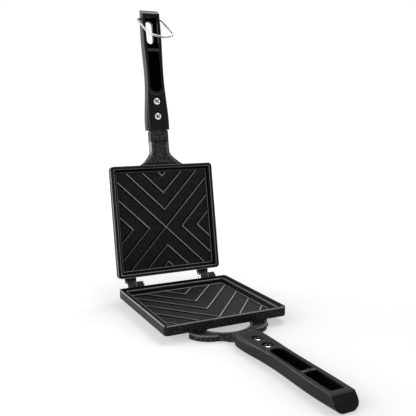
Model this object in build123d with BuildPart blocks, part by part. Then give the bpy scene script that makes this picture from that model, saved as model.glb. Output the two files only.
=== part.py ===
"""Stovetop pie iron: two square cast grill plates on a pair of riveted knuckle hinges,
each with a moulded handle screwed to its tang, and a wire bail that locks the tips together.

The row frame stands on the table: X is the width, Y runs from the lower handle's tip towards
the hinge and Z is up.  The origin is the centre of the lower plate's underside.

Each half is drawn in a frame of its own, whose origin lies on the hinge axis: X across,
Y from the hinge out to the handle's tip, Z outwards from the parting plane.
"""

import os
from math import acos, cos, degrees, radians, sin, sqrt, tan

from build123d import *

os.makedirs("parts", exist_ok=True)

# ---------------------------------------------------------------- driving dimensions (mm, degrees)
open_angle = 100.0  # lid rests on its stop at this angle
base_height = 6.0  # height of the ribs that the plates stand on
table_clearance = 0.3  # yoke and handle stay this far above the table

# plates
upper_size = 130.2
lap_clearance = 0.4  # round the upper plate, inside the lower plate's lip
lip_width = 3.0
lip_height = 1.6
plate_depth = 8.8  # parting plane to underside
corner_radius = 4.5
edge_round = 0.7
underside_round = 1.6
rim_width = 4.0
rim_step_width = 1.4  # rebate round the upper plate's rim
rim_step_depth = 0.8
wall_draft = 8.0
ledge_depth = 4.6
ledge_width = 3.0
floor_depth = 6.0

# grill ribs
rib_width = 1.7
rib_height = 1.0
rib_margin = 0.8  # from the ledge
rib_draft = 14.0
chevron_pitch = 28.5  # lower plate, along its length
chevron_first = 28.0  # first apex from the hinge-side rim
chevron_count = 6
chevron_slope = 40.0  # arms against the plate's length
cross_first = 21.2  # upper plate, first apex from the middle of the cross
cross_pitch = 20.2
cross_offset = 9.8  # middle of the cross, towards the hinge
cross_slope = 45.0

# edges of the wells
mouth_round = 0.6
ledge_round = 0.5

# ribs under the plates
base_ring = 56.0
base_ring_radius = 12.0
base_reach = 46.0  # ends of the diagonals, from the plate's centre lines
base_rib_width = 4.5
base_rib_draft = 6.0

# hinges
hinge_setback = 10.0  # hinge axis to the upper plate's edge
hinge_inset = 18.6  # upper plate's side to the middle of each hinge
knuckle_radius = 5.2
knuckle_width = 9.6
knuckle_gap = 0.3
knuckle_chamfer = 0.6
lug_overhang = 3.0  # upper plate's lugs reach this far over the lower plate's knuckles
lug_clearance = 0.45  # round those knuckles
lug_hook = 3.2  # the lugs stop this far past the hinge axis
rivet_radius = 2.5
running_clearance = 0.05
rivet_head_radius = 4.5
rivet_head_height = 1.8
rivet_washer_gap = 0.12
rivet_bore_radius = 1.75
rivet_bore_depth = 7.0
stop_clearance = 0.1
stop_turn = 22.0  # heel on the upper knuckle that comes to rest on the lower plate's wall

# yoke of the lower plate, a stirrup with an open middle
stirrup_width = 86.0
stirrup_reach = 26.0
stirrup_thickness = 4.2
stirrup_hole_width = 50.0
stirrup_hole_depth = 14.5
arm_pad_depth = 2.2

# yoke of the upper plate, a flared web
web_width = 60.0
web_front = 6.2  # local Z of its face

# borders round both yokes, necks and tangs
border_width = 2.3
border_height = 1.3
neck_width = 22.6
neck_front = 3.4
neck_back = 12.2
neck_chamfer = 2.2
neck_pad_length = 14.0
tang_width = 17.0
tang_front = 5.6
tang_back = 11.2
tang_length = 40.0
tang_clearance = 0.15

# handles
handle_start = 182.5  # from the hinge axis
handle_length = 138.5  # along the inner face
handle_face = 1.2  # inner face, from the parting plane
handle_width_start = 29.0
handle_width_waist = 21.8
handle_width_tip = 22.8
handle_waist_place = 50.0  # from the handle's start
handle_back_waist = 14.0
handle_back_tip = 13.9
heel_inset = 15.5  # where the back starts to flare, from the handle's tip
heel_reach = 7.0  # past the inner face's end
pocket_start = 45.0  # from the handle's start
pocket_inset = 5.0  # from the handle's tip
pocket_width = 15.0
pocket_prow = 9.0  # length of the rounded end towards the plates
pocket_corner = 1.5
pocket_depth = 7.6
pocket_rim = 3.6  # flat rim round the pocket
pocket_rim_height = 0.5  # above the face that holds the screws
cross_rib_inset = 43.4  # middle of the rib, from the handle's tip
cross_rib_width = 3.4
cross_rib_drop = 0.4
nub_radius = 1.9
nub_sink = 1.1  # its centre, below the inner face
slot_inset = 6.9  # from the handle's tip
slot_length = 27.5
slot_width = 9.2

# handle screws
screw_places = (16.0, 34.0)  # from the handle's start
screw_radius = 2.5
screw_length = 8.0
screw_head_radius = 4.7
screw_head_height = 2.1
counterbore_radius = 5.75
counterbore_depth = 3.3
screw_clearance = 0.2

# bail
wire_radius = 1.2
bail_inset = 5.8  # from the handle's tip
bail_depth = 7.2  # from the parting plane
bail_half_width = 15.6
bail_leg = 36.0
bail_bend = 2.6
bail_tilt = 38.0  # from square to the handle, towards the plates
bail_stub_length = 3.0  # in the handle's side

# ---------------------------------------------------------------- sizes that follow
lap = lip_width + lap_clearance
lower_size = upper_size + 2 * lap
cavity_size = upper_size - 2 * rim_width
floor_size = cavity_size - 2 * ledge_width - 2 * ledge_depth * tan(radians(wall_draft))
rib_field = floor_size - 2 * rib_margin
plate_centre = hinge_setback + upper_size / 2
upper_front = hinge_setback + upper_size
lower_front = upper_front + lap
lower_back = hinge_setback - lap
parting_height = plate_depth + base_height
stop_reach = lower_back - stop_clearance
hinge_pitch = upper_size - 2 * hinge_inset
screw_seat = handle_face + counterbore_depth
handle_tip = handle_start + handle_length
cross_rib_place = handle_tip - cross_rib_inset
bail_place = handle_tip - bail_inset
bail_stub_end = handle_width_tip / 2 - bail_stub_length
handle_back = parting_height - table_clearance
knuckle_places = [side * hinge_pitch / 2 + (knuckle_width + knuckle_gap) / 2 for side in (-1, 1)]

lower_half = Plane(origin=(0, plate_centre, parting_height), x_dir=(1, 0, 0), z_dir=(0, 0, -1))
upper_half = Plane(
    origin=(0, plate_centre, parting_height),
    x_dir=(-1, 0, 0),
    z_dir=(0, sin(radians(open_angle)), cos(radians(open_angle))),
)


def across(place=0.0):
    """Plane for a side profile: its X is a half's Y, its Y is a half's Z."""
    return Plane(origin=(place, 0, 0), x_dir=(0, 1, 0), z_dir=(1, 0, 0))


def polar(radius, angle):
    """Point in a side profile, its angle counted from the handle's side outwards."""
    return (radius * cos(radians(angle)), radius * sin(radians(angle)))


def plate_centre_at(height=0.0):
    """Plane at the plate's centre, this far outwards from the parting plane."""
    return Plane(origin=(0, plate_centre, height))


# ---------------------------------------------------------------- features that both castings share
def plate_block(size, inner_height):
    """The plate's outer block with rounded corners, from inner_height to the underside."""
    with BuildSketch(plate_centre_at(inner_height)) as outline:
        RectangleRounded(size, size, corner_radius)
    extrude(outline.sketch, amount=plate_depth - inner_height)
    fillet(edges().group_by(Axis.Z)[-1], underside_round)
    fillet(edges().group_by(Axis.Z)[0], edge_round)


def edges_round(size, height):
    """The edges at this height that run round a square of this size."""
    level = edges().filter_by_position(Axis.Z, height - 0.01, height + 0.01)
    reach = size / 2 + 0.5
    return level.filter_by(
        lambda edge: max(abs(edge.center().X), abs(edge.center().Y - plate_centre)) < reach
    )


def cavity(inner_height):
    """Tapered well, the ledge at its foot and the floor inside the ledge."""
    spread = (ledge_depth - inner_height) * tan(radians(wall_draft))
    ledge_size = cavity_size - 2 * ledge_depth * tan(radians(wall_draft))
    with BuildSketch(plate_centre_at(ledge_depth)) as foot:
        RectangleRounded(ledge_size, ledge_size, corner_radius - 1.5)
    with BuildSketch(plate_centre_at(inner_height)) as mouth:
        RectangleRounded(ledge_size + 2 * spread, ledge_size + 2 * spread, corner_radius)
    loft([mouth.sketch, foot.sketch], ruled=True, mode=Mode.SUBTRACT)
    fillet(edges_round(cavity_size, inner_height), mouth_round)
    with BuildSketch(plate_centre_at(floor_depth)) as floor:
        Rectangle(floor_size, floor_size)
    extrude(floor.sketch, amount=ledge_depth - floor_depth, mode=Mode.SUBTRACT)
    fillet(edges_round(floor_size, ledge_depth), ledge_round)


def base_ribs():
    """Diagonal cross tied by a rounded square ring, on which either plate stands level."""
    with BuildSketch(plate_centre_at(plate_depth)) as ribs:
        RectangleRounded(base_ring, base_ring, base_ring_radius)
        inner = base_ring - 2 * base_rib_width
        RectangleRounded(inner, inner, base_ring_radius - base_rib_width, mode=Mode.SUBTRACT)
        for turn in (45, -45):
            SlotOverall(2 * sqrt(2) * base_reach, base_rib_width, rotation=turn)
    extrude(ribs.sketch, amount=base_height, taper=base_rib_draft)


def lug_profile(wall_place, lug_front):
    """Side profile of one knuckle and its lug, which ends inside the plate's wall."""
    Circle(knuckle_radius)
    Polygon(
        (0, 0),
        (sqrt(knuckle_radius**2 - lug_front**2), lug_front),
        (wall_place + 1.5, lug_front),
        (wall_place + 1.5, plate_depth - 0.6),
        (wall_place - 2.5, plate_depth - 0.6),
        (0, knuckle_radius),
        align=None,
    )


def hinge_lugs(wall_place):
    """Knuckles with the lugs that carry them on the plate's wall."""
    lug_front = lip_height + 0.5
    for place in knuckle_places:
        for way in (-1, 1):
            with BuildSketch(across(place)) as profile:
                lug_profile(wall_place, lug_front)
            extrude(profile.sketch, amount=way * (knuckle_width / 2 - knuckle_chamfer))
            slice_place = place + way * (knuckle_width / 2 - knuckle_chamfer)
            with BuildSketch(across(slice_place)) as end_slice:
                lug_profile(wall_place, lug_front)
            extrude(end_slice.sketch, amount=way * knuckle_chamfer, taper=40)
        with BuildSketch(across(place)) as bore:
            Circle(rivet_radius + running_clearance)
        extrude(bore.sketch, amount=knuckle_width, both=True, mode=Mode.SUBTRACT)


def tang():
    """Flat tang that the handle is pushed onto, with its two screw holes."""
    with BuildSketch(Plane.XY.offset(tang_front)) as blade:
        with Locations((0, handle_start - 1)):
            Rectangle(tang_width, tang_length + 1, align=(Align.CENTER, Align.MIN))
        with Locations(*[(0, handle_start + place) for place in screw_places]):
            Circle(screw_radius + running_clearance, mode=Mode.SUBTRACT)
    extrude(blade.sketch, amount=tang_back - tang_front)


def chevron(apex, towards, slope, reach):
    """One rib bent at its apex: both arms leave it at the slope against the given direction."""
    along = Vector(*towards)
    aside = Vector(-along.Y, along.X)
    arms = [along * cos(radians(slope)) + aside * side * sin(radians(slope)) for side in (-1, 1)]
    start = Vector(*apex)
    with BuildLine() as bend:
        Polyline(start + arms[0] * reach, start, start + arms[1] * reach)
    trace(bend.line, line_width=rib_width)


# ---------------------------------------------------------------- lower plate
# The stirrup is its outline seen from above, cut down to its profile seen from the side, and
# sunk by its border's height inside a border that follows the outline and the opening.
half = stirrup_width / 2
neck = neck_width / 2
yoke_back = parting_height - table_clearance
yoke_front = yoke_back - stirrup_thickness - border_height

with BuildSketch() as stirrup_outline:
    with BuildLine():
        edge = Line((half, lower_front - 1.5), (half, lower_front + 1))
        bow = ThreePointArc(
            edge @ 1,
            (half - 6.5, lower_front + 11.5),
            (half - 20, lower_front + stirrup_reach - 8),
        )
        sweep_in = TangentArc(bow @ 1, (neck, lower_front + stirrup_reach + 4), tangent=bow % 1)
        Polyline(
            sweep_in @ 1,
            (neck, handle_start - neck_chamfer),
            (neck - neck_chamfer, handle_start),
            (0, handle_start),
            (0, lower_front - 1.5),
            edge @ 0,
        )
    make_face()
    mirror(about=Plane.YZ)

with BuildSketch() as stirrup_opening:
    with BuildLine():
        side = stirrup_hole_width / 2
        bottom = Line((-side, lower_front - 2), (side, lower_front - 2))
        right = Line(bottom @ 1, (side, lower_front))
        far = ThreePointArc(right @ 1, (0, lower_front + stirrup_hole_depth), (-side, lower_front))
        Line(far @ 1, bottom @ 0)
    make_face()

with BuildSketch() as stirrup_sunk:
    add(stirrup_outline.sketch)
    offset(amount=-border_width, kind=Kind.INTERSECTION, mode=Mode.REPLACE)
    add(offset(stirrup_opening.sketch, amount=border_width, mode=Mode.PRIVATE), mode=Mode.SUBTRACT)
    with Locations((0, handle_start)):
        Rectangle(stirrup_width, 2 * neck_pad_length, mode=Mode.SUBTRACT)


def stirrup_profile(sink):
    """Closed side profile of the stirrup, its front face sunk by this much."""
    rise = lower_front + stirrup_hole_depth + 3
    Polygon(
        (lower_front - 1.5, yoke_front + sink),
        (rise, yoke_front + sink),
        (handle_start - 7, neck_front + sink),
        (handle_start, neck_front + sink),
        (handle_start, neck_back),
        (handle_start - 6, neck_back),
        (handle_start - 14, yoke_back),
        (lower_front - 1.5, yoke_back),
        align=None,
    )


with BuildPart() as stirrup_bed:
    extrude(stirrup_sunk.sketch, amount=yoke_back)
    with BuildSketch(across()):
        stirrup_profile(border_height)
    extrude(amount=half + 1, both=True, mode=Mode.SUBTRACT)

with BuildPart() as stirrup:
    extrude(stirrup_outline.sketch, amount=yoke_back)
    extrude(stirrup_opening.sketch, amount=yoke_back, mode=Mode.SUBTRACT)
    with BuildSketch(across()):
        stirrup_profile(0)
    extrude(amount=half + 1, both=True, mode=Mode.INTERSECT)
    add(stirrup_bed.part, mode=Mode.SUBTRACT)


with BuildPart() as lower_casting:
    plate_block(lower_size, -lip_height)
    with BuildSketch(plate_centre_at(-lip_height)):
        recess = lower_size - 2 * lip_width
        RectangleRounded(recess, recess, corner_radius + lap_clearance)
    extrude(amount=lip_height, mode=Mode.SUBTRACT)
    cavity(0.0)
    with BuildSketch(plate_centre_at(floor_depth)) as lower_ribs:
        for number in range(chevron_count):
            apex = chevron_first + number * chevron_pitch - upper_size / 2
            chevron((0, apex), (0, -1), chevron_slope, lower_size)
        Rectangle(rib_field, rib_field, mode=Mode.INTERSECT)
    extrude(amount=-rib_height, taper=rib_draft)
    base_ribs()
    add(stirrup.part)
    for side in (-1, 1):
        with BuildSketch(across(side * stirrup_hole_width / 2)):
            Polygon(
                (lower_front - 1, 0.6),
                (lower_front + 1.2, 1.2),
                (lower_front + arm_pad_depth, plate_depth),
                (lower_front + arm_pad_depth + 3, yoke_back - 1),
                (lower_front - 1, yoke_back - 1),
                align=None,
            )
        extrude(amount=side * (stirrup_width - stirrup_hole_width) / 2)
    tang()
    hinge_lugs(lower_back)


# ---------------------------------------------------------------- upper plate
# The web is made as the stirrup is: its outline, cut to its profile, sunk inside its border.
with BuildSketch() as web_outline:
    with BuildLine():
        flare = ThreePointArc(
            (web_width / 2, upper_front - 1.5),
            (neck + 9.0, upper_front + 4.6),
            (neck + 2.8, upper_front + 10.5),
        )
        straighten = TangentArc(flare @ 1, (neck, upper_front + 18), tangent=flare % 1)
        Polyline(
            straighten @ 1,
            (neck, handle_start - neck_chamfer),
            (neck - neck_chamfer, handle_start),
            (0, handle_start),
            (0, upper_front - 1.5),
            flare @ 0,
        )
    make_face()
    mirror(about=Plane.YZ)

with BuildSketch() as web_sunk:
    add(web_outline.sketch)
    offset(amount=-border_width, kind=Kind.INTERSECTION, mode=Mode.REPLACE)
    with Locations((0, handle_start)):
        Rectangle(web_width, 2 * neck_pad_length, mode=Mode.SUBTRACT)

with BuildPart() as web:
    extrude(web_outline.sketch, amount=neck_back)
    with BuildSketch(across()):
        Polygon(
            (upper_front - 1.5, lip_height + 0.6),
            (lower_front + 1, lip_height + 0.6),
            (upper_front + 12, neck_front),
            (handle_start, neck_front),
            (handle_start, neck_back),
            (upper_front + 12, neck_back),
            (upper_front - 1.5, plate_depth - 0.8),
            align=None,
        )
    extrude(amount=web_width, both=True, mode=Mode.INTERSECT)
    extrude(web_sunk.sketch, amount=neck_front + border_height, mode=Mode.SUBTRACT)


with BuildPart() as upper_casting:
    plate_block(upper_size, 0.0)
    with BuildSketch(plate_centre_at()) as rebate:
        RectangleRounded(upper_size, upper_size, corner_radius)
        face_size = upper_size - 2 * rim_step_width
        RectangleRounded(face_size, face_size, corner_radius - 1, mode=Mode.SUBTRACT)
    extrude(amount=rim_step_depth, mode=Mode.SUBTRACT)
    fillet(edges_round(face_size, 0.0), ledge_round)
    cavity(0.0)
    with BuildSketch(plate_centre_at(floor_depth)) as upper_ribs:
        for towards in ((0, 1), (1, 0), (0, -1), (-1, 0)):
            chevron((0, -cross_offset), towards, cross_slope, upper_size)
            distance = cross_first
            while distance < rib_field / 2 + towards[1] * cross_offset - rib_width:
                apex = (towards[0] * distance, towards[1] * distance - cross_offset)
                chevron(apex, towards, cross_slope, upper_size)
                distance += cross_pitch
        Rectangle(rib_field, rib_field, mode=Mode.INTERSECT)
    extrude(amount=-rib_height, taper=rib_draft)
    base_ribs()
    add(web.part)
    tang()
    hinge_lugs(hinge_setback)
    for place in knuckle_places:
        with BuildSketch(across(place - knuckle_width / 2 + knuckle_chamfer)):
            Polygon(
                (lug_hook, lip_height + 0.5),
                (hinge_setback + 1.5, lip_height + 0.5),
                (hinge_setback + 1.5, plate_depth - 0.6),
                (hinge_setback - 2.5, plate_depth - 0.6),
                (lug_hook, knuckle_radius + lug_clearance + 0.8),
                align=None,
            )
            Circle(knuckle_radius + lug_clearance, mode=Mode.SUBTRACT)
        extrude(amount=-lug_overhang - knuckle_chamfer)
    for place in knuckle_places:
        with BuildSketch(across(place - knuckle_width / 2)):
            Polygon(
                (0, 0),
                polar(knuckle_radius, degrees(acos(knuckle_radius / stop_reach)) - open_angle),
                polar(stop_reach, -open_angle),
                polar(stop_reach / cos(radians(stop_turn)), -open_angle - stop_turn),
                polar(knuckle_radius, -open_angle - stop_turn - 42),
                align=None,
            )
        extrude(amount=knuckle_width)
        with BuildSketch(across(place - knuckle_width / 2)):
            Circle(rivet_radius + running_clearance)
        extrude(amount=knuckle_width, mode=Mode.SUBTRACT)


# ---------------------------------------------------------------- handle, the same on both halves
def section(place):
    """Plane across the handle: its X is the width, its Y is the depth from the parting plane."""
    return Plane(origin=(0, handle_start + place, 0), x_dir=(-1, 0, 0), z_dir=(0, 1, 0))


def handle_section(place, width, back, front_round, back_round):
    """One cross-section of the grip, from the inner face to its back."""
    with BuildSketch(section(place)) as outline:
        with Locations((0, (handle_face + back) / 2)):
            Rectangle(width, back - handle_face)
        fillet(outline.vertices().group_by(Axis.Y)[0], front_round)
        fillet(outline.vertices().group_by(Axis.Y)[-1], back_round)
    return outline.sketch


waist_to_tip = handle_length - handle_waist_place
handle_sections = [
    handle_section(0, handle_width_start, handle_back, 6.0, 4.0),
    handle_section(14, handle_width_start - 0.2, handle_back, 5.2, 3.8),
    handle_section(
        31, (handle_width_start + handle_width_waist) / 2, handle_back - 0.2, 3.0, 3.4
    ),
    handle_section(handle_waist_place, handle_width_waist, handle_back_waist + 0.2, 1.0, 3.0),
    handle_section(
        handle_waist_place + 0.4 * waist_to_tip, handle_width_waist, handle_back_waist, 0.8, 3.0
    ),
    handle_section(handle_length - heel_inset, handle_width_tip, handle_back_tip, 0.8, 4.0),
    handle_section(handle_length + heel_reach + 1, handle_width_tip, handle_back, 0.8, 8.0),
]

with BuildPart() as handle:
    loft(handle_sections)
    with BuildSketch(across()):
        with BuildLine():
            end = ThreePointArc(
                (handle_tip, handle_face),
                (handle_tip + heel_reach * 0.72, (handle_face + handle_back) / 2),
                (handle_tip + heel_reach, handle_back + 0.1),
            )
            Polyline(
                end @ 1,
                (handle_start - 1, handle_back + 0.1),
                (handle_start - 1, handle_face - 0.1),
                (handle_tip - 0.1, handle_face - 0.1),
                end @ 0,
            )
        make_face()
    extrude(amount=handle_width_start, both=True, mode=Mode.INTERSECT)

    # pocket in the inner face, a rounded prow towards the plates and a square stern
    with BuildSketch(Plane.XY.offset(handle_face - 0.5)):
        with BuildLine():
            pocket_side = pocket_width / 2
            pocket_end = handle_tip - pocket_inset
            shoulder = handle_start + pocket_start + pocket_prow
            stern = Line((-pocket_side, pocket_end), (pocket_side, pocket_end))
            right = Line(stern @ 1, (pocket_side, shoulder))
            prow = ThreePointArc(
                right @ 1, (0, handle_start + pocket_start), (-pocket_side, shoulder)
            )
            Line(prow @ 1, stern @ 0)
        make_face()
        fillet(vertices().group_by(Axis.Y)[-1], pocket_corner)
    extrude(amount=pocket_depth + 0.5, mode=Mode.SUBTRACT)

    # the face that holds the screws lies lower than the rim round the pocket
    with BuildSketch(Plane.XY.offset(handle_face - 0.5)):
        with Locations((0, handle_start - 1)):
            Rectangle(
                handle_width_start + 1,
                1 + pocket_start + pocket_prow - 1.5,
                align=(Align.CENTER, Align.MIN),
            )
        with Locations((0, handle_start + pocket_start + pocket_prow - 1.5)):
            Circle(pocket_width / 2 + pocket_rim, mode=Mode.SUBTRACT)
    extrude(amount=pocket_rim_height + 0.5, mode=Mode.SUBTRACT)
    with BuildSketch(Plane.XY.offset(handle_face)):
        with Locations((0, handle_tip - slot_inset - slot_length / 2)):
            SlotOverall(slot_length, slot_width, rotation=90)
    extrude(amount=handle_back, mode=Mode.SUBTRACT)
    with BuildSketch(Plane.XY.offset(handle_face + cross_rib_drop)):
        with Locations((0, cross_rib_place)):
            Rectangle(pocket_width + 0.5, cross_rib_width)
    extrude(amount=pocket_depth - cross_rib_drop + 0.5)
    with Locations((0, cross_rib_place, handle_face + nub_sink)):
        Sphere(nub_radius)
    socket_width = tang_width + 2 * tang_clearance
    with BuildSketch(Plane.XY.offset(tang_front - tang_clearance)):
        with Locations((0, handle_start - 1)):
            Rectangle(socket_width, tang_length + 1.5, align=(Align.CENTER, Align.MIN))
    extrude(amount=tang_back - tang_front + 2 * tang_clearance, mode=Mode.SUBTRACT)
    for place in screw_places:
        with Locations((0, handle_start + place, handle_face - 0.5)):
            Cylinder(
                counterbore_radius,
                counterbore_depth + 0.5,
                align=(Align.CENTER, Align.CENTER, Align.MIN),
                mode=Mode.SUBTRACT,
            )
            Cylinder(
                screw_radius + screw_clearance,
                screw_seat - handle_face + screw_length + 0.9,
                align=(Align.CENTER, Align.CENTER, Align.MIN),
                mode=Mode.SUBTRACT,
            )

# the upper handle has two blind holes more, for the ends of the bail
with BuildPart() as drilled_handle:
    add(handle.part)
    for side in (-1, 1):
        with BuildSketch(across(side * (bail_half_width - bail_bend))) as hole:
            with Locations((bail_place, bail_depth)):
                Circle(wire_radius + running_clearance)
        reach = bail_half_width - bail_bend - bail_stub_end
        extrude(hole.sketch, amount=-side * reach, mode=Mode.SUBTRACT)


# ---------------------------------------------------------------- fasteners
with BuildPart() as screw:
    with BuildSketch(Plane.YZ):
        with BuildLine():
            crown = TangentArc(
                (0, screw_seat - screw_head_height),
                (screw_head_radius - 0.3, screw_seat - screw_head_height + 0.8),
                tangent=(1, 0),
            )
            rim = Line(crown @ 1, (screw_head_radius, screw_seat - 0.5))
            Polyline(
                rim @ 1,
                (screw_head_radius, screw_seat),
                (screw_radius, screw_seat),
                (screw_radius, screw_seat + screw_length - 0.8),
                (screw_radius - 0.8, screw_seat + screw_length),
                (0, screw_seat + screw_length),
                crown @ 0,
            )
        make_face()
    revolve(axis=Axis.Z)

with BuildPart() as rivet:
    stack = knuckle_width + knuckle_gap / 2
    rolled = -stack - rivet_washer_gap
    with BuildSketch(Plane.XZ):
        with BuildLine():
            shank = Polyline(
                (rolled + rivet_bore_depth - 1.5, 0),
                (rolled + rivet_bore_depth - 2.5, rivet_bore_radius),
                (rolled - 0.9, rivet_bore_radius),
            )
            lip = ThreePointArc(
                shank @ 1,
                (rolled - 1.5, rivet_bore_radius + 1.1),
                (rolled - 0.4, rivet_head_radius - 0.1),
            )
            under = Polyline(
                lip @ 1,
                (rolled, rivet_head_radius - 0.1),
                (rolled, rivet_radius),
                (stack, rivet_radius),
                (stack, rivet_head_radius),
                (stack + 0.5, rivet_head_radius),
            )
            dome = TangentArc((stack + rivet_head_height, 0), under @ 1, tangent=(0, 1))
            Line(dome @ 0, shank @ 0)
        make_face()
    revolve(axis=Axis.X)


# ---------------------------------------------------------------- bail
bail_plane = Plane(
    origin=(0, bail_place, bail_depth),
    x_dir=(1, 0, 0),
    z_dir=(0, cos(radians(bail_tilt)), -sin(radians(bail_tilt))),
)

with BuildPart() as bail:
    with BuildLine(bail_plane):
        left = FilletPolyline(
            (-bail_stub_end, 0), (-bail_half_width, 0), (-bail_half_width, bail_leg), radius=bail_bend
        )
        bow = ThreePointArc(
            left @ 1, (0, bail_leg + bail_half_width), (bail_half_width, bail_leg)
        )
        FilletPolyline(
            bow @ 1, (bail_half_width, 0), (bail_stub_end, 0), radius=bail_bend
        )
    with BuildSketch(Plane(origin=left @ 0, z_dir=left % 0)):
        Circle(wire_radius)
    sweep()


# ---------------------------------------------------------------- the assembly in the row frame
def screw_at(number):
    """Where a handle screw sits in its half."""
    return Pos(0, handle_start + screw_places[number], 0)


def rivet_at(side):
    """Where a hinge rivet sits, on the hinge axis."""
    return Pos(side * hinge_pitch / 2, plate_centre, parting_height)


nodes = {
    "lower_plate": lower_half.location * lower_casting.part,
    "upper_plate": upper_half.location * upper_casting.part,
    "lower_handle": lower_half.location * handle.part,
    "upper_handle": upper_half.location * drilled_handle.part,
    "lower_handle_screw_rear": lower_half.location * screw_at(0) * screw.part,
    "lower_handle_screw_front": lower_half.location * screw_at(1) * screw.part,
    "upper_handle_screw_rear": upper_half.location * screw_at(0) * screw.part,
    "upper_handle_screw_front": upper_half.location * screw_at(1) * screw.part,
    "hinge_rivet_left": rivet_at(-1) * rivet.part,
    "hinge_rivet_right": rivet_at(1) * rivet.part,
    "locking_bail": upper_half.location * bail.part,
}

for name, solid in nodes.items():
    solid.label = name
    export_step(solid, f"parts/{name}.step")
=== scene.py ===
"""Stovetop pie iron, open on its stop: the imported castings, handles, fasteners and bail, each
with the finish of the real piece, on a pale floor under soft studio light."""

import math

import bmesh
import bpy
from mathutils import Matrix, Vector


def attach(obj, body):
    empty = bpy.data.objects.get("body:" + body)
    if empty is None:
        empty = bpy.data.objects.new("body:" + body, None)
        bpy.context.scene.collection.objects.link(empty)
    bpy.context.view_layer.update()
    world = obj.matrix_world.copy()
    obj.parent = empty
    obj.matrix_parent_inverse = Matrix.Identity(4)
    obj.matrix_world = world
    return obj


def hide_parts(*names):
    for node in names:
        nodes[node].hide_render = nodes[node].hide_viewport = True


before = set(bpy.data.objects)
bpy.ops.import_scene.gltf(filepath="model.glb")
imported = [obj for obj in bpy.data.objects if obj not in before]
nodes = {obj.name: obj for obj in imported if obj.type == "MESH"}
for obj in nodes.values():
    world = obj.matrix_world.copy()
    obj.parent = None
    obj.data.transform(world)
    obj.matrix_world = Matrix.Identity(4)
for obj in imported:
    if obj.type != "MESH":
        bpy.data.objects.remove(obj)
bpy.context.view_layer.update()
scene = bpy.context.scene

# ------------------------------------------------------------ camera
# A short telephoto seen from the front left, a little above the lower plate, so that the open
# lid fills the height of the frame and the lower handle points out of its bottom right corner.
camera_at = Vector((-0.2803, -0.5866, 0.2226))
camera_turn, camera_drop = math.radians(26.40), math.radians(9.41)
looking = Vector(
    (
        math.sin(camera_turn) * math.cos(camera_drop),
        math.cos(camera_turn) * math.cos(camera_drop),
        -math.sin(camera_drop),
    )
)
to_the_right = Vector((math.cos(camera_turn), -math.sin(camera_turn), 0))
upwards = to_the_right.cross(looking)
camera = bpy.data.objects.new("camera", bpy.data.cameras.new("camera"))
camera.data.sensor_width = 36
camera.data.lens = 53.65
camera.data.clip_start, camera.data.clip_end = 0.02, 20
camera.matrix_world = Matrix.Translation(camera_at) @ Matrix(
    (to_the_right, upwards, -looking)
).transposed().to_4x4()
scene.collection.objects.link(camera)
scene.camera = camera
scene.view_settings.view_transform = "Standard"


# ------------------------------------------------------------ how finishes are written
# A Field is one value of a material. Arithmetic on it adds the Math node that does the sum, so
# that a finish reads as a formula. A Finish is the material; its node() adds any other node.
class Field:
    def __init__(self, finish, socket):
        self.finish, self.socket = finish, socket

    def math(self, operation, first, second=0.0):
        return self.finish.node(
            "ShaderNodeMath", {"operation": operation}, {0: first, 1: second}
        )

    def __add__(self, other):
        return self.math("ADD", self, other)

    def __radd__(self, other):
        return self.math("ADD", other, self)

    def __sub__(self, other):
        return self.math("SUBTRACT", self, other)

    def __rsub__(self, other):
        return self.math("SUBTRACT", other, self)

    def __mul__(self, other):
        return self.math("MULTIPLY", self, other)

    def __rmul__(self, other):
        return self.math("MULTIPLY", other, self)

    def __truediv__(self, other):
        return self.math("DIVIDE", self, other)

    def above(self, other):
        """The larger of the two: where masks overlap, the stronger one holds."""
        return self.math("MAXIMUM", self, other)

    def clamp(self):
        return self.math("MINIMUM", self.above(0.0), 1.0)

    def magnitude(self):
        return self.math("ABSOLUTE", self)

    def root(self):
        return self.math("SQRT", self)

    def power(self, exponent):
        return self.math("POWER", self, exponent)


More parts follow.
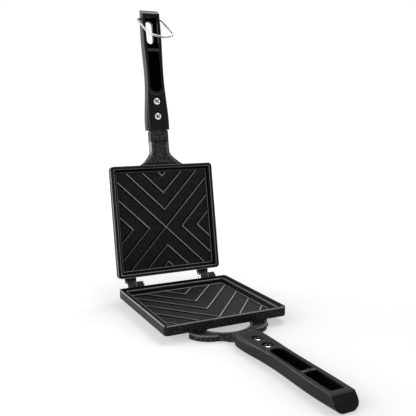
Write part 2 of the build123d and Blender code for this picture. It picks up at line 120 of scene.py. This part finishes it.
class Finish:
    def __init__(self, name):
        self.material = bpy.data.materials.new(name)
        self.material.use_nodes = True
        self.tree = self.material.node_tree
        self.shader = self.tree.nodes["Principled BSDF"]

    def node(self, kind, settings=None, inputs=None, output=0):
        made = self.tree.nodes.new(kind)
        for name, value in (settings or {}).items():
            setattr(made, name, value)
        self.fill(made, inputs or {})
        return None if output is None else Field(self, made.outputs[output])

    def fill(self, made, inputs):
        for name, value in inputs.items():
            if isinstance(value, Field):
                self.tree.links.new(value.socket, made.inputs[name])
            else:
                made.inputs[name].default_value = value

    def place(self):
        return self.node("ShaderNodeTexCoord", output="Object")

    def axes(self, place):
        inputs = {"Vector": place}
        return [self.node("ShaderNodeSeparateXYZ", None, inputs, axis) for axis in "XYZ"]

    def step(self, value, zero, one):
        """A smooth mask: 0 at the first given value, 1 at the second, whichever is larger."""
        inputs = {"Value": value, "From Min": zero, "From Max": one, "To Min": 0, "To Max": 1}
        return self.node("ShaderNodeMapRange", {"interpolation_type": "SMOOTHSTEP"}, inputs)

    def thread(self, offset, outside, core):
        """The mask of a line, by the distance from its middle."""
        return self.step(offset.magnitude(), outside, core)

    def noise(self, place, scale, detail, rough):
        return self.node(
            "ShaderNodeTexNoise",
            None,
            {"Vector": place, "Scale": scale, "Detail": detail, "Roughness": rough},
        )

    def blend(self, share, first, second):
        return self.node(
            "ShaderNodeMix", {"data_type": "RGBA"}, {0: share, 6: first, 7: second}, 2
        )

    def relief(self, height, depth, strength):
        inputs = {"Height": height, "Distance": depth, "Strength": strength}
        return self.node("ShaderNodeBump", None, inputs)

    def over(self, share, inputs):
        """Lay a second, plainer skin over the first where share is 1."""
        layer = self.tree.nodes.new("ShaderNodeBsdfPrincipled")
        self.fill(layer, inputs)
        mix = self.tree.nodes.new("ShaderNodeMixShader")
        self.tree.links.new(share.socket, mix.inputs[0])
        self.tree.links.new(self.shader.outputs[0], mix.inputs[1])
        self.tree.links.new(layer.outputs[0], mix.inputs[2])
        self.tree.links.new(mix.outputs[0], self.tree.nodes["Material Output"].inputs[0])

    def coat(self, node_names):
        for name in node_names:
            slots = nodes[name].material_slots
            if len(slots) == 0:
                nodes[name].data.materials.append(self.material)
            for slot in slots:
                slot.material = self.material


def distance(first, second):
    """From the point where both values are 0."""
    return (first * first + second * second).root()


def grey(tone, blue=0.0):
    return (tone, tone, tone + blue, 1)


# ------------------------------------------------------------ where a point lies on its half
# Both halves are drawn alike, in metres: "along" runs from the hinge axis to the handle's tip,
# "inwards" from the parting plane into the casting. The lid is the same half, turned open.
hinge_y, hinge_z = 0.0751, 0.0148
leaning = math.radians(10)
lower_turn = ((-1.0, 0.0), (0.0, -1.0))
lid_turn = (
    (math.sin(leaning), math.cos(leaning)),
    (math.cos(leaning), -math.sin(leaning)),
)


def half_place(finish, turn):
    across, y, z = finish.axes(finish.place())
    (along_y, along_z), (inwards_y, inwards_z) = turn
    along = (y - hinge_y) * along_y + (z - hinge_z) * along_z
    inwards = (y - hinge_y) * inwards_y + (z - hinge_z) * inwards_z
    return across, along, inwards


def half_to_world(turn, across, along, inwards):
    (along_y, along_z), (inwards_y, inwards_z) = turn
    return Vector(
        (
            across,
            hinge_y + along * along_y + inwards * inwards_y,
            hinge_z + along * along_z + inwards * inwards_z,
        )
    )


# ------------------------------------------------------------ the two plates
# Pressure-cast aluminium, one casting for each half, under a satin black non-stick coat.
# Painted highlights lighten the rib crests, the rims, the well edges, the hinge knuckles and
# the yoke borders; painted shade darkens beside the ribs, along the far ledges and at the neck
# pad's step.
# The coat is speckled on the well floors and follows the mould's coarse grain on the yokes, the
# necks and the outer walls.
plate_middle = 0.0751
floor_half, mouth_half = 0.05745, 0.0611
rib_crest, floor_depth, ledge_depth, base_face = 0.0050, 0.0060, 0.0046, 0.0148
knuckle_radius, knuckle_middle, knuckle_half = 0.0060, 0.0465, 0.00495
neck_pad_step = 0.1687
cross_middle = 0.0653
cross_ribs_at = (-0.0414, -0.0212, 0.0, 0.0212, 0.0414)
chevrons_at = [0.0380 + 0.0285 * number for number in range(5)]


def web_lines(coat, across, along, inwards):
    """Painted highlights along both edges of the raised border of the lid's flared web."""
    flare_end, flare_length, flare_width, neck_half = 0.1582, 0.018, 0.0177, 0.0113
    border_edges = (0.0003, 0.0022)
    away = ((flare_end - along) / flare_length).clamp()
    outline = flare_width * away.power(2.3) + neck_half
    slant = (away.power(2.6) * 5.1 + 1.0).root()
    off_outline = (outline - across.magnitude()) / slant
    outer, inner = [coat.thread(off_outline - edge, 0.0006, 0.0002) for edge in border_edges]
    on_web = coat.step(along, 0.1408, 0.1413) * coat.step(along, 0.1690, 0.1684)
    return outer.above(inner * 0.8) * on_web * coat.step(inwards, 0.0115, 0.0100)


def stirrup_lines(coat, across, along, inwards):
    """Painted highlights on the border's edges round the stirrup's opening and along its bow.
    """
    opening_at, opening_radius, opening_border = 0.1293, 0.0292, 0.0018
    bow_out, bow_at, bow_radius, bow_border = 0.0197, 0.1374, 0.0242, 0.0021
    flat_face, face_end, face_slope = 0.0090, 0.1611, 0.389
    off_opening = distance(across, along - opening_at) - opening_radius
    off_bow = distance(across.magnitude() - bow_out, along - bow_at) - bow_radius
    round_opening = coat.thread(off_opening, 0.0006, 0.0003).above(
        coat.thread(off_opening - opening_border, 0.0006, 0.0003) * 0.6
    )
    along_bow = coat.thread(off_bow, 0.0008, 0.0004).above(
        coat.thread(off_bow + bow_border, 0.0006, 0.0003) * 0.6
    )
    past_plate = coat.step(along, 0.1440, 0.1446)
    on_bow = coat.step(across.magnitude(), bow_out, bow_out + 0.0010)
    face = flat_face - ((along - face_end) * face_slope).above(0.0)
    on_face = coat.thread(inwards - face, 0.0010, 0.0006)
    return round_opening.above(along_bow * on_bow * 0.8) * past_plate * on_face


def rib_shade_lines(coat, offsets):
    """Painted shade: a dark line along the left of each rib, where the rib throws its shade."""
    rib_shade = [
        coat.step(offset, -0.0021, -0.0017) * coat.step(offset, -0.0005, -0.0008)
        for offset in offsets
    ]
    painted_shade = rib_shade[0]
    for shade_line in rib_shade[1:]:
        painted_shade = painted_shade.above(shade_line)
    return painted_shade


def cross_ribs(coat, across, along):
    """Painted highlight on the lid's rib crests, weakest in the quarter low on the left, and
    rib shade.
    """
    right = coat.step(across, -0.0005, 0.0005)
    outer = coat.step(along, cross_middle - 0.0010, cross_middle + 0.0010)
    crest_highlight_level = 0.95 - right * outer * 0.30 - (1 - right) * (1 - outer) * 0.62
    run = across - (right * 2 - 1) * (along - cross_middle).magnitude()
    square_on = math.cos(math.radians(45))
    return crest_highlight_level, rib_shade_lines(coat, [(run - rib) * square_on for rib in cross_ribs_at])


def chevron_ribs(coat, across, along):
    """Painted highlight on the lower plate's rib crests, strongest on the right, and the rib
    shade.
    """
    right = coat.step(across, -0.0005, 0.0005)
    arm = math.radians(40)
    run = along + across.magnitude() / math.tan(arm)
    square_on = (right * 2 - 1) * math.sin(arm)
    crest_highlight_level = right * 0.60 + 0.50
    return crest_highlight_level, rib_shade_lines(coat, [(run - rib) * square_on for rib in chevrons_at])


def non_stick(name, turn, rim_half, rim_height, yoke_from, grit, yoke_lines, rib_lines):
    coat = Finish(name)
    at = coat.place()
    across, along, inwards = half_place(coat, turn)
    ring = across.magnitude().above((along - plate_middle).magnitude())

    def square_edge(half, width, low, high):
        """A square line round the plate, from one height to the other."""
        in_height = coat.step(inwards, low - 0.0003, low) * coat.step(
            inwards, high + 0.0003, high
        )
        return coat.thread(ring - half, width, width * 0.4) * in_height

    fine = coat.noise(at, 900.0, 3.0, 0.6)
    coarse = coat.noise(at, 720.0, 3.0, 0.6)
    speckle = coat.noise(at, 430.0, 3.0, 0.65)
    patches = coat.noise(at, 30.0, 3.0, 0.6)

    in_mouth = coat.step(ring, mouth_half - 0.0005, mouth_half - 0.0010)
    in_well = coat.step(ring, floor_half - 0.0004, floor_half - 0.0009)
    on_ledge = in_mouth * coat.step(ring, floor_half + 0.0004, floor_half + 0.0009)
    cooking_side = coat.step(inwards, floor_depth + 0.0010, floor_depth + 0.0005)
    well_floor = coat.step(inwards, floor_depth - 0.00025, floor_depth - 0.00010)
    well_floor = well_floor * in_mouth * cooking_side
    far_side = coat.step(across.above(along - plate_middle), 0.0560, 0.0565)
    walls = coat.step(ring, rim_half - 0.0008, rim_half - 0.0004)
    yoke = coat.step(along, yoke_from, yoke_from + 0.001)

    crest_highlight, rib_shade = rib_lines(coat, across, along)
    below_mouth = coat.step(inwards, 0.0008, 0.0012)
    # Painted shade beside each rib and, at 0.7, along the ledge on the right and far sides of
    # the well.
    painted_shade = (rib_shade * in_well).above(on_ledge * far_side * 0.7) * below_mouth * cooking_side

    # Painted highlight along the rib crests.
    crests = coat.step(inwards, rib_crest + 0.00028, rib_crest + 0.00008) * in_well
    # Painted highlights along the well's edges and the rim, half as strong on the far sides,
    # where shade falls.
    well_edges = square_edge(
        floor_half, 0.0008, ledge_depth - 0.0002, ledge_depth + 0.0006
    ).above(square_edge(mouth_half + 0.0002, 0.0008, -0.0004, 0.0007))
    rim_edge = square_edge(rim_half, 0.0010, rim_height - 0.0005, rim_height + 0.0009)
    edges = (well_edges * (1 - far_side * 0.5)).above(rim_edge)
    highlight_and_wear = (crests * crest_highlight).above(edges * 0.80) * (0.45 + patches * 1.1)

    # Painted highlight on the hinge knuckles and at their ends.
    knuckle = coat.step(along, knuckle_radius + 0.0006, knuckle_radius)
    off_knuckle = (across.magnitude() - knuckle_middle).magnitude() - knuckle_half
    knuckle_ends = knuckle * coat.step(off_knuckle.magnitude(), 0.0040, 0.0044)
    highlight_and_wear = highlight_and_wear.above(knuckle_ends * 0.45 + knuckle * coarse * 0.16)

    standing_face = coat.step(inwards, base_face - 0.00055, base_face - 0.00015)
    highlight_and_wear = highlight_and_wear.above(standing_face * (patches - 0.30).above(0.0) * 1.1)
    # Painted highlights along the yoke's border edges.
    border = yoke_lines(coat, across, along, inwards)
    highlight_and_wear = highlight_and_wear.above(border * (0.40 + coarse * 0.6))

    # Painted shadow: the grain stops at the neck pad's step, leaving a dark line where the
    # step's shadow falls.
    pad_step = coat.thread(along - neck_pad_step, 0.0012, 0.0007)
    yoke_grain = (coat.step(coarse, 0.48, 0.62) * 0.85 + 0.10) * yoke * grit * (1 - pad_step)
    wall_grain = coat.step(coarse, 0.50, 0.68) * walls * 0.16
    speckles = (speckle - 0.38).above(0.0) * 0.17 * well_floor
    plain_skin = 0.0095
    tone_and_highlight = highlight_and_wear + yoke_grain + wall_grain + (speckles + plain_skin) * (1 - painted_shade)
    bumps = fine * in_mouth * 0.25 + coarse * walls.above(yoke)
    # A dark metallic share takes the last sheen off the painted shade beside the ribs and on
    # the far ledges.
    coat.fill(
        coat.shader,
        {
            "Base Color": coat.blend(
                tone_and_highlight.clamp(), grey(0.0012, blue=0.0001), grey(0.300, blue=-0.005)
            ),
            "Metallic": painted_shade,
            "Roughness": 0.50 + fine * 0.10 + yoke * 0.04 + painted_shade * 0.30 - highlight_and_wear * 0.12,
            "Specular IOR Level": 0.14,
            "Normal": coat.relief(bumps, 0.0008, 0.8),
        },
    )
    return coat


non_stick(
    "non_stick_lower",
    lower_turn,
    rim_half=0.0685,
    rim_height=-0.0016,
    yoke_from=0.1480,
    grit=0.17,
    yoke_lines=stirrup_lines,
    rib_lines=chevron_ribs,
).coat(["lower_plate"])
non_stick(
    "non_stick_upper",
    lid_turn,
    rim_half=0.0651,
    rim_height=0.0008,
    yoke_from=0.1420,
    grit=0.30,
    yoke_lines=web_lines,
    rib_lines=cross_ribs,
).coat(["upper_plate"])

# ------------------------------------------------------------ the two handles
# Compression-moulded black phenolic, hollow on the inner face and pushed over the casting's
# tang. The skin is satin with a short grain. Painted highlights lighten the moulded edges of
# the inner face, the edge round the prow and the nub, and painted shade darkens the pocket.
def phenolic(name, turn):
    prow_at, prow_radius, rim_face, face_drop = 0.2350, 0.0111, 0.0012, 0.0005
    nub_at, pocket_half, pocket_from, slot_to = 0.2776, 0.0080, 0.2260, 0.3164
    skin = Finish(name)
    at = skin.place()
    across, along, inwards = half_place(skin, turn)
    grain = skin.noise(at, 1400.0, 2.0, 0.6)
    flow = skin.noise(at, 55.0, 3.0, 0.6)

    off_prow = distance(across, along - prow_at) - prow_radius
    screw_face = skin.step(along, prow_at + 0.0001, prow_at - 0.0001) * skin.step(
        off_prow, -0.0001, 0.0001
    )
    under_face = inwards - rim_face - screw_face * face_drop
    rim_highlight = skin.step(under_face, 0.00006, 0.00020) * skin.step(under_face, 0.00110, 0.00070)
    prow_edge = (
        skin.thread(off_prow, 0.0008, 0.0003)
        * skin.step(along, prow_at + 0.0002, prow_at - 0.0004)
        * skin.step(inwards, 0.0030, 0.0026)
    )
    off_nub = distance(across, along - nub_at)
    nub = skin.step(off_nub, 0.0015, 0.0009) * skin.step(inwards, 0.0030, 0.0024)
    # Painted shade: the pocket in the inner face gets a darker, duller skin.
    hollow = (
        skin.step(across.magnitude(), pocket_half, pocket_half - 0.0002)
        * skin.step(inwards, 0.0022, 0.0034)
        * skin.step(inwards, 0.0100, 0.0092)
        * skin.step(along, pocket_from, pocket_from + 0.0010)
        * skin.step(along, slot_to, slot_to - 0.0003)
    )
    # Painted highlights on the inner face's edges, round the prow and on the nub; flow is the
    # skin's own tone.
    skin_tone_and_highlight = flow * 0.14 + rim_highlight * 0.65 + prow_edge.above(nub) * 0.9
    skin.fill(
        skin.shader,
        {
            "Base Color": skin.blend(
                skin_tone_and_highlight.clamp(), (0.0026, 0.0027, 0.0028, 1), grey(0.060, blue=0.001)
            ),
            "Roughness": 0.40 + grain * 0.08 + flow * 0.06 - rim_highlight * 0.08,
            "Specular IOR Level": 0.14,
            "Normal": skin.relief(grain + flow * 0.6, 0.00015, 0.5),
        },
    )
    shaded = {
        "Base Color": grey(0.0016, blue=0.0001),
        "Roughness": 0.95,
        "Specular IOR Level": 0.03,
    }
    skin.over(hollow, shaded)
    return skin


phenolic("phenolic_lower", lower_turn).coat(["lower_handle"])
phenolic("phenolic_upper", lid_turn).coat(["upper_handle"])

# ------------------------------------------------------------ zinc-plated steel
# Bright zinc on the screws and the semi-tubular hinge rivets, a little cloudy, with the fine
# marks of cold heading. The lower handle's screws lie face up over the hob; painted shade and a
# painted dark reflection cover them but for the edge towards the front.
def bright_zinc(name, shaded_at=None):
    plating = Finish(name)
    at = plating.place()
    cloud = plating.noise(at, 420.0, 4.0, 0.6)
    marks = plating.noise(at, 2600.0, 2.0, 0.5)
    metal = plating.blend(cloud, (0.80, 0.81, 0.82, 1), (0.93, 0.93, 0.92, 1))
    if shaded_at is not None:
        backwards_x, backwards_y = 0.525, 0.851
        x, y, _ = plating.axes(at)
        backwards = x * backwards_x + (y - shaded_at) * backwards_y
        # Painted shade and dark reflection over the head, but for its edge towards the front.
        painted_dark = plating.step(backwards, -0.0036, -0.0026) * (0.90 + cloud * 0.10)
        metal = plating.blend(painted_dark, metal, grey(0.022))
    plating.fill(
        plating.shader,
        {
            "Base Color": metal,
            "Metallic": 1.0,
            "Roughness": 0.14 + cloud * 0.14,
            "Normal": plating.relief(marks + cloud * 0.5, 0.00004, 0.5),
        },
    )
    return plating


zinc = bright_zinc("bright_zinc")
zinc.coat(name for name in nodes if "rivet" in name or "screw" in name)

# ------------------------------------------------------------ the handle screws
# M5 pan screws, cold-headed, with a cross recess punched into the crown. Each is turned as it
# happened to tighten, and stands in for its plain node.
recess_shadow = Finish("recess_shadow")
recess_shadow.fill(
    recess_shadow.shader,
    {"Base Color": grey(0.006), "Roughness": 0.8, "Specular IOR Level": 0.1},
)
screw_seat = 0.0045
crown, recess_foot = -0.00210, -0.00125
recess_reach, recess_half, recess_taper = 0.0031, 0.00048, 0.75
screw_outline = [
    (0.0034, -0.00208),
    (0.0040, -0.00190),
    (0.0044, -0.00158),
    (0.0046, -0.00115),
    (0.0047, -0.00060),
    (0.0047, 0.0),
    (0.0025, 0.0),
    (0.0025, 0.0072),
    (0.0017, 0.0080),
    (0.0, 0.0080),
]


def cross_corners(tightened):
    """The twelve corners of the cross recess, turned by the given angle."""
    corners = []
    for quarter in range(4):
        spin = math.radians(90 * quarter + tightened)
        for right, up in (
            (recess_half, recess_half),
            (recess_half, recess_reach),
            (-recess_half, recess_reach),
        ):
            corners.append(
                (
                    right * math.cos(spin) - up * math.sin(spin),
                    right * math.sin(spin) + up * math.cos(spin),
                )
            )
    return corners


def cross_screw(node, body, turn, along, tightened, plating):
    head = bmesh.new()
    points = [head.verts.new((reach, 0, rise)) for reach, rise in screw_outline]
    line = [head.edges.new(pair) for pair in zip(points, points[1:])]
    bmesh.ops.spin(
        head,
        geom=points + line,
        cent=(0, 0, 0),
        axis=(0, 0, 1),
        angle=math.tau,
        steps=32,
        use_merge=True,
    )
    rim = [edge for edge in head.edges if edge.is_boundary]
    corners = cross_corners(tightened)
    mouth = [head.verts.new((right, up, crown)) for right, up in corners]
    mouth_edges = [head.edges.new(pair) for pair in zip(mouth[-1:] + mouth, mouth)]
    bmesh.ops.triangle_fill(head, use_beauty=True, edges=rim + mouth_edges)
    foot = [
        head.verts.new((right * recess_taper, up * recess_taper, recess_foot))
        for right, up in corners
    ]
    recess = [
        head.faces.new((mouth[k - 1], mouth[k], foot[k], foot[k - 1]))
        for k in range(len(corners))
    ]
    recess.append(head.faces.new(foot))
    for wall in recess:
        wall.material_index = 1
    for vert in head.verts:
        right, up, rise = vert.co
        vert.co = half_to_world(turn, right, along + up, screw_seat + rise)
    head.normal_update()
    bmesh.ops.recalc_face_normals(head, faces=head.faces)
    for face in head.faces:
        face.smooth = face.material_index == 0
    mesh = bpy.data.meshes.new(node + "_crossed")
    head.to_mesh(mesh)
    head.free()
    mesh.materials.append(plating.material)
    mesh.materials.append(recess_shadow.material)
    screw = bpy.data.objects.new(node + "_crossed", mesh)
    scene.collection.objects.link(screw)
    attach(screw, body)
    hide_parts(node)


rear_screw, front_screw = 0.1985, 0.2165
shaded_rear = bright_zinc("shaded_zinc_rear", hinge_y - rear_screw)
shaded_front = bright_zinc("shaded_zinc_front", hinge_y - front_screw)
cross_screw("lower_handle_screw_rear", "lower", lower_turn, rear_screw, 8, shaded_rear)
cross_screw("lower_handle_screw_front", "lower", lower_turn, front_screw, 31, shaded_front)
cross_screw("upper_handle_screw_rear", "upper", lid_turn, rear_screw, 52, zinc)
cross_screw("upper_handle_screw_front", "upper", lid_turn, front_screw, 43, zinc)

# ------------------------------------------------------------ the bail
# Spring-steel wire, drawn bright and chromed, bent to a long loop and sprung into the two
# blind holes of the upper handle. Drawing leaves faint scratches.
wire = Finish("bright_wire")
at = wire.place()
scratches = wire.noise(at, 900.0, 4.0, 0.65)
wire.fill(
    wire.shader,
    {
        "Base Color": wire.blend(scratches, (0.20, 0.21, 0.22, 1), (0.50, 0.50, 0.51, 1)),
        "Metallic": 1.0,
        "Roughness": 0.20 + scratches * 0.14,
        "Normal": wire.relief(scratches, 0.00003, 0.4),
    },
)
wire.coat(["locking_bail"])

# ------------------------------------------------------------ floor and light
# A seamless pale floor, which the camera sees near white but for the object's shadow and the
# dimness close under it. Two wide lamps on the left draw the light edges, a weak one fills from
# the front, and one above and behind lays the soft shadow to the front.
paper = bmesh.new()
bmesh.ops.create_grid(paper, x_segments=1, y_segments=1, size=30.0)
floor_mesh = bpy.data.meshes.new("floor")
paper.to_mesh(floor_mesh)
paper.free()
floor = bpy.data.objects.new("floor", floor_mesh)
scene.collection.objects.link(floor)
sheet = Finish("floor_paper")
x, y, _ = sheet.axes(sheet.place())
seen = (
    sheet.node("ShaderNodeLightPath", output="Is Camera Ray")
    .above(sheet.node("ShaderNodeLightPath", output="Is Glossy Ray"))
    .above(sheet.node("ShaderNodeLightPath", output="Is Transmission Ray"))
)
open_floor = sheet.node(
    "ShaderNodeAmbientOcclusion", {"samples": 16}, {"Distance": 0.12}, "AO"
)
darkest, near_glow, far_gain = 0.80, 0.60, 0.34
far_off = sheet.step(distance(x, y), 0.25, 1.4)
glow = seen * open_floor.above(darkest) * (near_glow + far_off * far_gain)
sheet.fill(
    sheet.shader,
    {
        "Base Color": grey(0.36),
        "Roughness": 0.9,
        "Specular IOR Level": 0.0,
        "Emission Color": sheet.blend(glow, grey(0.0), grey(1.0)),
        "Emission Strength": 1.0,
    },
)
floor_mesh.materials.append(sheet.material)

# The room is white behind the object and dim behind the camera, as a studio is. Diffuse light
# from it is even; the camera, and what is seen through or past the object, meets plain white.
class Surroundings(Finish):
    def __init__(self, world):
        self.tree = world.node_tree


room = bpy.data.worlds.new("room")
scene.world = room
room.use_nodes = True
room.node_tree.nodes.clear()
sky = Surroundings(room)
right, ahead, high = sky.axes(sky.node("ShaderNodeTexCoord", output="Generated"))
backdrop = sky.node("ShaderNodeLightPath", output="Is Camera Ray").above(
    sky.node("ShaderNodeLightPath", output="Is Transmission Ray")
)
reflected = sky.node("ShaderNodeLightPath", output="Is Glossy Ray")
dim_room, white_wall, fill_light = 0.24, 1.0, 0.40
low_behind = sky.step(ahead, 0.55, 0.80) * sky.step(high, 0.55, 0.35)
wall = sky.step(ahead - right * 0.5, -0.45, 0.35) * (1 - low_behind)
mirrored = dim_room * (1 - low_behind * 0.8) + (white_wall - dim_room) * wall
level = fill_light + (mirrored - fill_light) * reflected
shade = sky.node(
    "ShaderNodeBackground",
    None,
    {"Color": grey(1.0), "Strength": level.above(backdrop)},
    "Background",
)
sky.node("ShaderNodeOutputWorld", None, {"Surface": shade}, None)


def softbox(name, place, aim, size, power):
    lamp = bpy.data.lights.new(name, "AREA")
    lamp.shape, lamp.size, lamp.energy = "SQUARE", size, power
    box = bpy.data.objects.new(name, lamp)
    towards = (Vector(aim) - Vector(place)).to_track_quat("-Z", "Y")
    box.matrix_world = Matrix.Translation(place) @ towards.to_matrix().to_4x4()
    scene.collection.objects.link(box)


middle = (0.0, 0.0, 0.12)
softbox("left_softbox", (-0.95, 1.05, 0.40), middle, 0.9, 18.0)
softbox("wide_softbox", (-1.45, -0.20, 0.40), middle, 1.2, 17.0)
softbox("front_softbox", (0.55, -1.10, 0.70), middle, 0.55, 1.5)
softbox("top_softbox", (0.50, 0.45, 1.25), middle, 0.6, 11.0)
